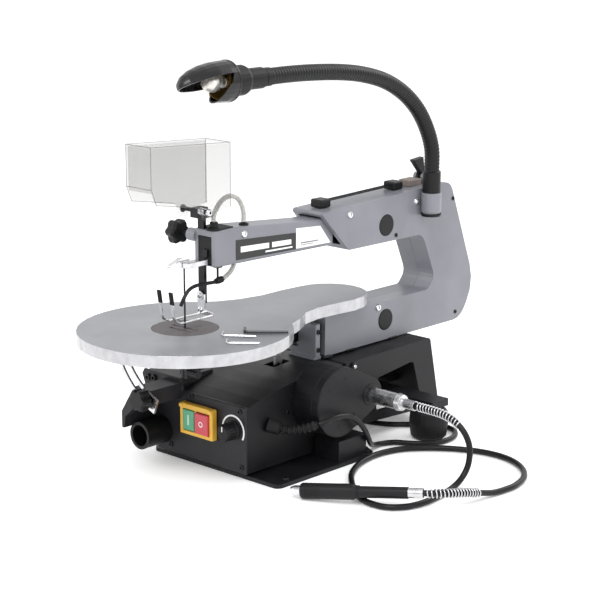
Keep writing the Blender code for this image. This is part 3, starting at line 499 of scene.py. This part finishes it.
finishes = {
    "frame_right": (cast_paint, 0.9), "frame_left": (cast_paint, 0.9), "arm_housing": (cast_paint, 0.9),
    "trunnion_bracket": (cast_paint, 0.8), "lamp_bracket": (cast_paint, 0.8),
    "table": (brushed_alloy, 1.0), "table_insert": (insert_moulding, 0.25),
    "base_plate": (base_black, 0.9), "rear_support": (case_black, 0.9), "front_housing": (case_black, 0.8),
    "front_panel": (panel_grey, 0.6), "motor_housing": (case_black, 0.8), "motor_end_cover": (case_black,
                                                        0.8),
    "dust_port": (moulded_black, 0.5), "switch_frame": (switch_yellow, 0.6),
    "button_on": (button_green, 0.7), "button_off": (button_red, 0.7),
    "rear_foot_right": (soft_rubber, 1.0), "rear_foot_left": (soft_rubber, 1.0),
    "upper_pivot_cap": (moulded_black, 0.5), "lower_pivot_cap": (moulded_black, 0.5),
    "upper_pivot_pin": (zinc_steel, 0.5), "lower_pivot_pin": (zinc_steel, 0.5),
    "tilt_quadrant": (zinc_steel, 0.3), "tilt_lock_knob": (moulded_black, 0.8),
    "upper_arm": (black_steel, 0.5), "lower_arm": (black_steel, 0.5), "tension_rod": (zinc_steel, 0.3),
    "connecting_rod": (zinc_steel, 0.3), "motor_shaft": (zinc_steel, 0.3), "motor": (black_steel, 0.5),
    "take_off_spindle": (zinc_steel, 0.3), "take_off_belt": (soft_rubber, 0.2),
    "blade": (blade_steel, 0.0), "upper_blade_holder": (zinc_steel,
                                                        0.4), "lower_blade_holder": (black_steel, 0.4),
    "blade_clamp_lever": (chrome, 0.5), "holddown_post": (black_steel,
                                                        0.5), "holddown_knob": (moulded_black, 0.8),
    "drop_foot": (chrome, 0.4), "guard": (guard_clear, 0.0), "tension_lever": (moulded_black, 0.8),
    "lamp_bulb": (bulb_glass, 0.0), "lamp_socket": (moulded_black, 0.5), "lamp_shade": (shade_enamel, 0.0),
    "blade_storage_front": (moulded_black, 1.2), "blade_storage_rear": (moulded_black, 1.2),
    "blower_nozzle": (black_steel, 0.0), "strain_relief": (soft_rubber, 0.0),
    "flex_coupling": (zinc_steel, 0.3), "collet": (chrome, 0.3), "handpiece": (grip_rubber, 0.4),
}
for name, (material, bevel) in finishes.items():
    dress(name, material, bevel)
nodes["table"].data.materials.append(turned_rim)
for face in nodes["table"].data.polygons:
    face.material_index = 1 if abs(face.normal.z) < 0.5 else 0
print(len(finishes), "frame parts finished")

# %% [markdown]
# ## C-frame and head
# Bolts on the two castings, and plain label films on the head.

# %% Frame hardware
NEAR_FACE = 25.0                            # right-hand face of the C-frame
for number, (y, z) in enumerate(((248, 275), (372, 274), (301, 151))):
    screw(f"frame_bolt_{number}", (NEAR_FACE - 0.2, y, z), (1, 0, 0), 4.6, chrome, "base", "cross", 3.2)
    screw(f"frame_nut_{number}", (-NEAR_FACE + 0.2, y, z), (-1, 0, 0), 5.4, zinc_steel, "base", "hex", 3.6)
screw("head_bolt", (16.8, 77, 276), (1, 0, 0), 4.4, chrome, "base", "cross", 3.0)
for number, (y, z) in enumerate(((334, 237), (445, 268), (454, 118))):
    screw(f"frame_screw_{number}", (NEAR_FACE - 0.2, y, z), (1, 0, 0), 2.6, socket_black, "base", "socket",
          1.4)
for number, (y, z) in enumerate(((194, 140), (194, 118))):
    screw(f"bracket_screw_{number}", (NEAR_FACE - 0.1, y - 1, z), (1, 0, 0), 3.0, socket_black, "base",
          "socket", 2.2)

# %% Labels on the head
HEAD_FACE = 17.0


def head_edge(y, share):
    """Height on the head's near face, from its lower (0) to its upper (1) edge."""
    low = 243.5 - (y - 32) * 3.5 / 196
    high = 285.4 - max(0.0, y - 60) * 11.0 / 130
    return low + share * (high - low)


def head_label(name, y0, y1, low, high, material, lift=0.12, slant=0.0):
    outline = [(y0, head_edge(y0, low)), (y1 + slant, head_edge(y1 + slant, low)), (y1, head_edge(y1, high)),
               (y0, head_edge(y0, high))]
    return add(name, slab(outline, "X", (HEAD_FACE + 0.02, HEAD_FACE + lift)), material, "base")


head_label("head_label_black", 64, 163, 0.10, 0.66, label_black)
head_label("head_label_white", 163.4, 205, 0.12, 0.80, label_white, slant=18)
for number, (y0, y1, low, high) in enumerate(((72, 118, 0.30, 0.46), (123, 155, 0.30, 0.46),
                                              (112, 157, 0.18, 0.23))):
    head_label(f"head_bar_white_{number}", y0, y1, low, high, print_white, lift=0.2)
for number, (y0, y1, low, high) in enumerate(((171, 201, 0.26, 0.31), (171, 193, 0.20, 0.23))):
    head_label(f"head_bar_grey_{number}", y0, y1, low, high, label_grey, lift=0.2)

# %% Rubber boot, hose fitting and the painted shade in the slot in the head
# A thin near-black plate across the head's front opening: painted shade where the slot looks dark.
add("head_slot_shadow", box((-10.6, 10.6), (33, 34.2), (246.6, 277)), recess_shade_paint, "base")
add("hose_boot", turned([(0, 0), (8.6, 0), (9, 0.8), (8.2, 2.4), (5.2, 3.4), (4.6, 8.6), (3.4, 9.4),
                         (3.2, 9.4)],
                        (8, 39, 285.2), (0, 0, 1)), soft_rubber, "base")
add("hose_grommet", turned([(3.3, 0), (5.6, 0), (5.6, 1.6), (4.2, 2.4), (3.3, 2.4), (3.3, 0)], (8, 86, 284),
                           (0, 0, 1)),
    soft_rubber, "base")
add("boot_flange", box((-13, 16), (40, 62), (285.4, 286.9)), soft_rubber, "base", bevel=0.6)

# %% [markdown]
# ## Lamp
# The gooseneck is ribbed hose; the shade is black enamel with a gilt cup round a silvered bulb.

# %% Gooseneck and lamp head
LAMP_X, LAMP_Y = 37.0, 387.0
SHADE_Z = 455.0
GOOSENECK = [(387, 286), (387, 312), (386, 340), (375, 367), (356, 393), (329, 415), (295, 432), (255, 443),
             (215, 449), (170, 452.5), (128, 454), (88, 454)]
neck_route = smooth_route([(LAMP_X, y, z) for y, z in GOOSENECK], 1.1)
neck_length = route_length(neck_route)


def neck_radius(distance):
    """Plain sleeve at the foot, a ferrule at the socket and fine ribs between."""
    if distance < 26:
        return 11.4
    if distance > neck_length - 10:
        return 10.6
    return 9.45 + 0.22 * math.cos(2 * math.pi * distance / 4.4)


add("gooseneck_hose", swept(neck_route, neck_radius, 28), moulded_black, "lamp_arm", replaces=("gooseneck",))
add("bracket_ring", turned([(9, 0), (12.4, 0), (12.8, 1.2), (12.8, 3.0), (9, 3.0)], (LAMP_X, LAMP_Y, 255.6),
                           (0, 0, 1)),
    moulded_black, "base")
rim_ring = turned([(19.6, 0), (23.3, 0), (23.4, 1.6), (22.6, 2.0), (19.6, 2.0), (19.6, 0)],
                  (LAMP_X, 33.4, SHADE_Z),
                  (0, -1, 0), 48)
add("shade_rim", rim_ring, shade_enamel, "lamp_head")
add("reflector_cup", turned([(8.2, 1.8), (13, 3), (17.5, 8), (19.2, 14), (18.7, 14), (16.8, 8.6), (12.6, 4),
                             (8.2, 2.6), (8.2, 1.8)], (LAMP_X, 33.2, SHADE_Z), (0, -1, 0), 48),
    reflector_gold, "lamp_head")
add("bulb_cap", turned([(0, 0), (7.4, 0), (7.4, 7.6), (6.6, 8.2), (0, 8.2)], (LAMP_X, 32.8, SHADE_Z),
                       (0, -1, 0)),
    zinc_steel, "lamp_head")
add("bulb_silver", turned([(10.7, 22), (10.5, 25), (9.8, 28.8), (6.2, 33.7), (0, 35.4)],
                          (LAMP_X, 33.2, SHADE_Z), (0, -1, 0)),
    silvered_glass, "lamp_head")

# %% [markdown]
# ## Hold-down, guard and blower
# Hardware round the blade: spring ends, hinge nuts, hose and its fittings.

# %% Hold-down hardware
POST = (-8.8, 36.4)
for side, x in (("left", -9.5), ("right", 9.5)):
    add(f"prong_tip_{side}", slab([(-29.0, 210), (-31.4, 225), (-28.6, 225), (-26.3, 210)], "X",
                                  (x - 2.6, x + 2.6)),
        soft_rubber, "hold_down", bevel=0.6)
for number, z in enumerate((191.5, 208)):
    screw(f"foot_screw_{number}", (POST[0], 32.6, z), (0, -1, 0), 3.4, zinc_steel, "hold_down", "cross", 3.0)
add("foot_washer", turned([(0, 0), (5.2, 0), (5.2, 1), (0, 1)], (POST[0], 32.5, 208), (0, -1, 0)),
    zinc_steel, "hold_down")
for side in (-1, 1):
    screw(f"hinge_nut_{'left' if side < 0 else 'right'}", (side * 20.4, 19, 309), (side, 0, 0), 4.6,
          zinc_steel,
          "hold_down", "cross", 3)
add("hinge_spring", wire("hinge_spring", coil_round([Vector((x, 19, 309)) for x in range(7, 18)], 3.6, 1.6,
                                                    0, 10), 0.55),
    zinc_steel, "hold_down")

# %% Cut edges of the clear guard
GUARD_SIDE = [(54, 311), (54, 384), (-65, 391), (-65, 345), (-58, 327.5), (6, 316)]
for side, x in (("left", -19.9), ("right", 19.9)):
    add(f"guard_edge_{side}", wire(f"guard_edge_{side}", [Vector((x, y, z)) for y, z in GUARD_SIDE], 0.42),
        guard_edge,
        "blade_guard")
for number, (y, z) in enumerate(((54, 384), (-65, 391), (-65, 345))):
    add(f"guard_fold_{number}", wire(f"guard_fold_{number}", [Vector((-19.7, y, z)), Vector((19.7, y, z))],
                                     0.42),
        guard_edge, "blade_guard")

# %% Hoses
HOSE_LOOP = [(8, 39, 286.5), (8, 39, 300), (8, 45, 311), (8, 54, 318), (8, 65, 320), (8, 76, 316),
             (8, 83, 307), (8, 86, 297), (8, 86, 288)]
HOSE_BELOW = [(8, 70, 241.5), (8, 68, 237), (8, 62, 231.5), (8, 54, 227.5), (8, 47.5, 225.6)]
NOZZLE = [(8, 47, 225.5), (8, 38, 225), (6.5, 28, 225), (5.5, 12, 224.8), (5, 2, 221.5), (4.6, -5, 214),
          (4, -10, 205)]


def hollow(route, radius, bore, sides=20):
    """Open-ended hose: an outer skin and a bore joined at both ends."""
    shape = bmesh.new()
    skins = []
    for size in (radius, bore):
        rings = []
        for here, (_, side, up) in zip(route, carried_frames(route)):
            rings.append([shape.verts.new(place(*(here + side * size * math.cos(2 * math.pi * k / sides)
                                                  + up * size * math.sin(2 * math.pi * k / sides))))
                          for k in range(sides)])
        for low, high in zip(rings, rings[1:]):
            for k in range(sides):
                shape.faces.new((low[k - 1], low[k], high[k], high[k - 1]))
        skins.append(rings)
    for end in (0, -1):
        for k in range(sides):
            shape.faces.new((skins[0][end][k - 1], skins[0][end][k], skins[1][end][k], skins[1][end][k - 1]))
    return shape


loop_route = smooth_route(HOSE_LOOP, 1.6)
below_route = smooth_route(HOSE_BELOW, 1.6)
nozzle_route = smooth_route(NOZZLE, 1.6)
add("air_hose_loop", hollow(loop_route, 3.0, 2.0), hose_clear, "base", replaces=("air_hose_upper",))
add("air_hose_lead", hollow(below_route, 3.0, 2.0), hose_clear, "base", replaces=("air_hose_lower",))
add("blower_tube", hollow(nozzle_route, 2.1, 1.4), black_steel, "base", replaces=("blower_nozzle",))
add("hose_connector", turned([(0, 0), (3.6, 0), (3.9, 1), (3.9, 7), (3.3, 8), (3.3, 10), (0, 10)],
                             (8, 51, 226.6),
                             (0, -1, -0.12), 24), moulded_black, "base")
add("nozzle_hanger", turned([(0, 0), (1.3, 0), (1.3, 16), (0, 16)], (8, 44, 225.4), (0, 0, 1), 16),
    black_steel, "base")
add("hanger_pad", box((3.8, 12.2), (40, 48), (240.9, 242.9)), black_steel, "base", bevel=0.5)

# %% [markdown]
# ## Table
# The table has its finish already; the hex keys lie on it and tilt with it.

# %% Hex keys left on the table
TABLE_TOP = 178.0
KEYS = (((66, 28), (102, 61), 1.6), ((57, 1), (88, 24), 1.1), ((84, -18), (111, 6), 1.1))
for number, (start, end, thick) in enumerate(KEYS):
    height = TABLE_TOP + thick + 0.1
    first, last = Vector((*start, height)), Vector((*end, height))
    along = (last - first).normalized()
    across = Vector((-along.y, along.x, 0))
    bend = [first + across * 16, first + across * 5, first + across * 1.6 + along * 0.4, first + along * 1.8,
            first + along * 5, last]
    add(f"hex_key_{number}", swept(bend, lambda distance, r=thick: r, 6),
        blade_steel if number == 0 else zinc_steel,
        "tilting_table")

# %% [markdown]
# ## Front panel, switch and speed dial

# %% Panel hardware
PANEL_FACE = 37.0
for number, (x, z) in enumerate(((-30, 83.6), (48.6, 81), (-66.7, 17), (51, 15))):
    screw(f"panel_screw_{number}", (x, PANEL_FACE + 0.1, z), (0, -1, 0), 3.3, socket_black, "base",
          "socket", 1.6)
screw("bracket_chrome_screw", (-106, PANEL_FACE + 0.1, 51), (0, -1, 0), 3.4, chrome, "base", "cross", 2.4)
for number, (x, z) in enumerate(((-104, 92), (-94, 93))):
    screw(f"raised_bolt_{number}", (x, PANEL_FACE + 0.1, z), (0, -1, 0), 4.2, socket_black, "base",
          "socket", 3.0)
screw("side_screw", (57.9, 105, 67), (1, 0, 0), 3.2, socket_black, "base", "socket", 1.8)
DIAL = (38, 57)
outer = arc(*DIAL, 18.2, 30, -30, 200)
inner = arc(*DIAL, 16.2, 30, 170, -200)
add("dial_scale", slab(outer + inner, "Y", (PANEL_FACE - 0.35, PANEL_FACE + 0.1)), print_white, "base")
add("dial_body", turned([(0, 0), (11.3, 0), (11.3, 1.5), (10.4, 2.5), (10.1, 2.8), (8.9, 16.6), (8.0, 17.8),
                         (0, 17.8)],
                        (DIAL[0], PANEL_FACE - 0.3, DIAL[1]), (0, -1, 0), 40), moulded_black, "speed_dial",
    replaces=("speed_knob",))
for k in range(18):
    angle = 2 * math.pi * k / 18
    x = DIAL[0] + 9.7 * math.cos(angle)
    z = DIAL[1] + 9.7 * math.sin(angle)
    add(f"dial_flute_{k}", turned([(0, 0), (0.75, 0), (0.6, 12), (0, 12.4)], (x, PANEL_FACE - 3.6, z),
                                  (0, -1, 0), 8),
        moulded_black, "speed_dial")
add("dial_pointer", box((DIAL[0] - 0.6, DIAL[0] + 0.6), (PANEL_FACE - 18.4, PANEL_FACE - 17.9),
                        (DIAL[1] + 2, DIAL[1] + 8)),
    print_white, "speed_dial")

# %% Switch marks and hinges
add("on_mark", box((-28.2, -26.8), (28.05, 28.35), (51, 63)), print_white, "on_button")
ring_out, ring_in = arc(-4, 57, 3.4, 24), arc(-4, 57, 2.3, 24)
ring = bmesh.new()
loops = [[ring.verts.new(place(u, y, v)) for u, v in outline] for outline in (ring_out, ring_in)
         for y in (25.45, 25.75)]
for a, b in ((0, 1), (3, 2), (2, 0), (1, 3)):
    for i in range(24):
        ring.faces.new((loops[a][i - 1], loops[a][i], loops[b][i], loops[b][i - 1]))
add("off_mark", ring, print_white, "off_button")
add("button_divider", box((-17.8, -15.2), (29.4, 35), (43.6, 69.9)), switch_yellow, "base", bevel=0.3)
for number, x in enumerate((-39.5, 9.5)):
    add(f"bezel_lug_{number}", box((x - 2.4, x + 2.4), (27.2, 28.8), (71.0, 75.4)), switch_yellow, "base",
        bevel=0.5)

# %% Dust port lip
add("dust_port_lip", turned([(12.8, 36.2), (12.8, 37.2), (16.5, 37.2), (16.5, 34.6), (16.2, 34.2)],
                            (-80, PANEL_FACE - 0.3, 33), (0, -1, 0), 48), moulded_black, "base")

# %% [markdown]
# ## Motor cover, stand and base

# %% Motor cover vents with painted shade in them, and seam
CRANK_Y, CRANK_Z = 153.0, 77.0
# Each vent is a thin near-black disc on the cover: painted shade for the dark inside of a hole.
for k in range(6):
    angle = math.radians(60 * k + 20)
    add(f"cover_vent_shade_{k}", turned([(0, 0), (1.9, 0), (1.9, 0.25), (0, 0.25)],
                                  (100.0, CRANK_Y + 28 * math.cos(angle), CRANK_Z + 28 * math.sin(angle)),
                                  (1, 0, 0), 20), recess_shade_paint, "base")
seam_out = arc(CRANK_Y, CRANK_Z, 39.8, 40, 60, 240)
add("cover_step", wire("cover_step", [Vector((100.05, y, z)) for y, z in seam_out], 0.25), case_black,
    "base")
add("take_off_ring", turned([(8.8, 0), (13.4, 0), (13.0, 1.2), (9.4, 1.8), (8.8, 1.8), (8.8, 0)],
                            (99.6, 203, 76),
                            (1, 0, 0), 40), case_black, "base")
screw("stand_bolt", (57.8, 219, 99), (1, 0, 0), 5.2, socket_black, "base", "hex", 3.4)
screw("stand_bolt_cap", (61.2, 219, 99), (1, 0, 0), 2.6, zinc_steel, "base", "cross", 1.4)
screw("stand_screw", (24.4, 362, 103), (1, 0, 0), 3.4, chrome, "base", "cross", 2.6)
for number, y in enumerate((206, 250, 330)):
    add(f"frame_clamp_{number}", box((-20, 27 if number else 30), (y - 8, y + 8), (106.6, 108.6)),
        base_black, "base",
        bevel=0.8)

# %% Base plate bolts
for side in (-1, 1):
    for number, y in enumerate((62, 200)):
        screw(f"base_bolt_{'l' if side < 0 else 'r'}{number}", (side * 96, y, 4.9), (0, 0, 1), 4.0,
              socket_black, "base",
              "socket", 2.6)

# %% Blade storage, spare blades and the rear block
for number, x in enumerate((-3, 0, 3)):
    add(f"spare_blade_{number}", slab([(216, 289.6), (364, 293.6), (364, 295.6), (216, 291.6)], "X",
                                      (x - 0.2, x + 0.2)),
        blade_steel, "base")
add("rear_block", box((-9, 9), (378, 401), (288.9, 297.5)), taupe_moulding, "base", bevel=1.2)

# %% [markdown]
# ## Flexible shaft
# Black outer casing with a wire relief spring at each end, and the handpiece that it drives.

# %% Flexible shaft
COUPLING_END = 169.0
FLEX_RADIUS = 3.6
FLEX_ROUTE = [(COUPLING_END + 0.3, 203, 76), (190, 203, 76), (212, 203, 74.5), (230, 203, 68.5),
              (243, 203, 57), (249, 203, 42), (250, 199, 24), (249, 189, 11), (250, 172, 4.6), (254, 148,
                                                        3.9),
              (256, 116, 3.9), (251, 92, 3.9), (237, 76, 3.9), (219, 72, 3.9), (199, 76, 3.9), (180, 88,
                                                        3.9),
              (156, 108, 3.9), (133, 134, 3.9), (116, 168, 3.9), (110, 205, 3.9), (118, 239, 3.9),
              (138, 264, 3.9), (166, 285, 3.9), (200, 298, 3.9), (234, 297, 3.9), (264, 282, 3.9),
              (285, 258, 3.9), (295, 229, 3.9), (295, 207, 3.9), (293, 191, 4.5), (291, 176, 7.5),
              (290, 162, 11), (289, 148, 14.5), (286.5, 134, 17.2), (282.5, 119.5, 19.4), (275, 108, 20.5),
              (266.5, 102.8, 20.1)]
flex_route = smooth_route(FLEX_ROUTE, 4.0)
flex_length = route_length(flex_route)
flex = add("flexible_shaft", wire("flexible_shaft", flex_route, FLEX_RADIUS), cord_rubber, "base",
           replaces=("flex_shaft",))
fine_route = smooth_route(FLEX_ROUTE, 1.5)
for end, start, stop in (("drive", 4, 66), ("hand", flex_length - 72, flex_length - 3)):
    turns = coil_round(fine_route, FLEX_RADIUS + 1.0, 4.2, start, stop, 14)
    add(f"relief_spring_{end}", wire(f"relief_spring_{end}", turns, 0.85), zinc_steel,
                       "base")

# %% Handpiece detail
NOSE = Vector((142, 39, 9.2))
HAND_AXIS = Vector((0.886, 0.454, 0.077)).normalized()


def along_hand(distance):
    return tuple(NOSE + HAND_AXIS * distance)


for number, distance in enumerate((6, 9, 12, 15, 18, 21)):
    ring = turned([(8.8, -0.7), (9.12, -0.4), (9.12, 0.4), (8.8, 0.7)], along_hand(distance), HAND_AXIS, 40)
    add(f"grip_ring_{number}", ring, soft_rubber, "base")
ferrule = turned([(5.3, 0), (5.75, 0.4), (5.75, 16.6), (5.35, 16.9), (5.3, 0)], along_hand(122.1),
                 HAND_AXIS, 40)
add("tail_ferrule", ferrule, zinc_steel, "base")
collar = turned([(6.55, 0), (7.4, 0.6), (7.4, 3.2), (6.55, 3.8), (6.55, 0)], along_hand(63.5), HAND_AXIS, 40)
add("grip_collar", collar, soft_rubber, "base")
print(f"flexible shaft {flex_length:.0f} mm")

# %% [markdown]
# ## Mains cord
# Down from the strain relief, behind the stand and out to a coil by the left side, with its plug.

# %% Mains cord
CORD_RADIUS = 3.3
CORD_ROUTE = [(105.8, 107.6, 62.3), (109.7, 113.5, 64.6), (112, 129, 67), (112, 150, 64), (112, 166, 55),
              (111, 180, 41), (106, 192, 27.5), (98, 205.5, 15.5), (89, 221, 7), (86.5, 239, 3.8),
              (95.5, 255, 3.6), (112, 264.5, 3.6), (126.5, 278, 3.6), (135, 297, 3.6), (132, 322, 3.6),
              (116, 341, 3.6), (91, 343, 3.6), (66, 325, 3.6), (40, 303, 3.6), (8, 293, 3.6), (-28, 299,
                                                        3.6),
              (-60, 321, 3.6), (-88, 341, 3.6), (-118, 345, 3.6), (-148, 331, 3.6), (-174, 303, 3.6),
              (-193, 270, 3.6), (-202.2, 238, 3.6), (-203, 215, 3.6)]
print(f"mains route {route_length(smooth_route(CORD_ROUTE, 4.0)):.0f} mm before its coil")

COIL_X, COIL_Y = -156.0, 220.0
OUTER_LANE, INNER_LANE = 39.3, 32.7
LOWER_LAYER, UPPER_LAYER = 3.6, 10.1
ENTRY = 186.0                               # degrees round the coil where the cord meets it
TURNS = 2.983
EXIT_ROUTE = [(-195.2, 200, 10.1), (-194, 182, 11), (-190, 167, 13), (-183, 158, 14.8), (-176.3, 156, 15.3)]


def ease(share):
    share = min(max(share, 0.0), 1.0)
    return share * share * (3 - 2 * share)


coil_points = []
steps_per_turn = 40
for k in range(1, round(TURNS * steps_per_turn) + 1):
    turned_by = k / steps_per_turn
    angle = math.radians(ENTRY + 360 * turned_by)
    lane = 47.0 + (OUTER_LANE - 47.0) * ease(turned_by / 0.22)
    lane += (INNER_LANE - OUTER_LANE) * (ease((turned_by - 0.80) / 0.16) - ease((turned_by - 2.28) / 0.2))
    layer = LOWER_LAYER + (UPPER_LAYER - LOWER_LAYER) * ease((turned_by - 1.52) / 0.26)
    coil_points.append(Vector((COIL_X + lane * math.cos(angle), COIL_Y + lane * math.sin(angle), layer)))
cord_route = smooth_route(CORD_ROUTE, 5.0)
cord_route += coil_points
cord_route += smooth_route([tuple(coil_points[-1])] + EXIT_ROUTE, 5.0)[1:]
cord = add("mains_cord_sheath", wire("mains_cord_sheath", cord_route, CORD_RADIUS), cord_rubber, "base",
           replaces=("mains_cord", "mains_coil"))

# %% Plug and tie
plug_body = turned([(0, 0), (4.6, 0), (5.0, 1), (5.0, 3), (6.2, 3.6), (6.2, 5.6), (5.4, 6.2), (7.2, 7),
                    (7.2, 9),
                    (6.6, 9.6), (9.2, 13), (13.4, 19.5), (14.6, 22), (14.9, 34), (13.4, 37.6), (12.6,
                                                        38), (0, 38)],
                   (-176, 156, 15.3), (1, 0, 0), 44)
plug_pieces = [add("plug_body", plug_body, soft_rubber, "base", replaces=("plug",))]
for number, y in enumerate((149.5, 162.5)):
    pin = turned([(0, 0), (2.4, 0), (2.4, 16.5), (1.7, 18), (0, 18)], (-138.2, y, 15.3), (1, 0, 0), 24)
    plug_pieces.append(add(f"plug_pin_{number}", pin, chrome, "base"))
tie_route = []
for k in range(24):
    angle = 2 * math.pi * k / 24
    out = 36 + 8.0 * max(-0.93, min(0.93, 1.35 * math.cos(angle)))
    up = 7.0 + 7.0 * max(-0.9, min(0.93, 1.35 * math.sin(angle)))
    tie_route.append(Vector((COIL_X + out * 0.5, COIL_Y + out * 0.866, up)))
plug_pieces.append(add("cord_tie", wire("cord_tie", tie_route, 0.7, cyclic=True), soft_rubber, "base"))

# %% Strain relief
RELIEF_ROUTE = [(58.3, 72, 60), (63, 75.5, 58.2), (70, 80.5, 56.3), (80, 86.5, 54.5), (92, 97, 57),
                (104.6, 106.5, 61.7)]


def relief_radius(distance):
    """Boss at the case, then rings that grow smaller, and a plain tip."""
    if distance < 15:
        return 8.2 - 0.02 * distance
    if distance > 56:
        return 4.2
    ring = math.cos(2 * math.pi * (distance - 15) / 5.6)
    return 5.1 + (1.5 - 0.012 * distance) * max(-0.8, min(0.8, 1.6 * ring))


add("strain_relief_boot", swept(smooth_route(RELIEF_ROUTE, 0.7), relief_radius, 28), soft_rubber, "base",
    replaces=("strain_relief",))

# %% [markdown]
# ## Floor and close

# %% Floor
floor_shape = bmesh.new()
bmesh.ops.create_grid(floor_shape, x_segments=1, y_segments=1, size=12)
floor_data = bpy.data.meshes.new("studio_floor")
floor_shape.to_mesh(floor_data)
floor_shape.free()
studio_white, _, _, _ = new_finish("white studio floor", 1.0, Base_Color=linear("#FCFCFC"),
                                   Emission_Color=linear("#FFFFFF"), Emission_Strength=0.14)
floor_data.materials.append(studio_white)
floor = bpy.data.objects.new("studio_floor", floor_data)
floor.location = (0, 0, -0.0002)
bpy.context.scene.collection.objects.link(floor)
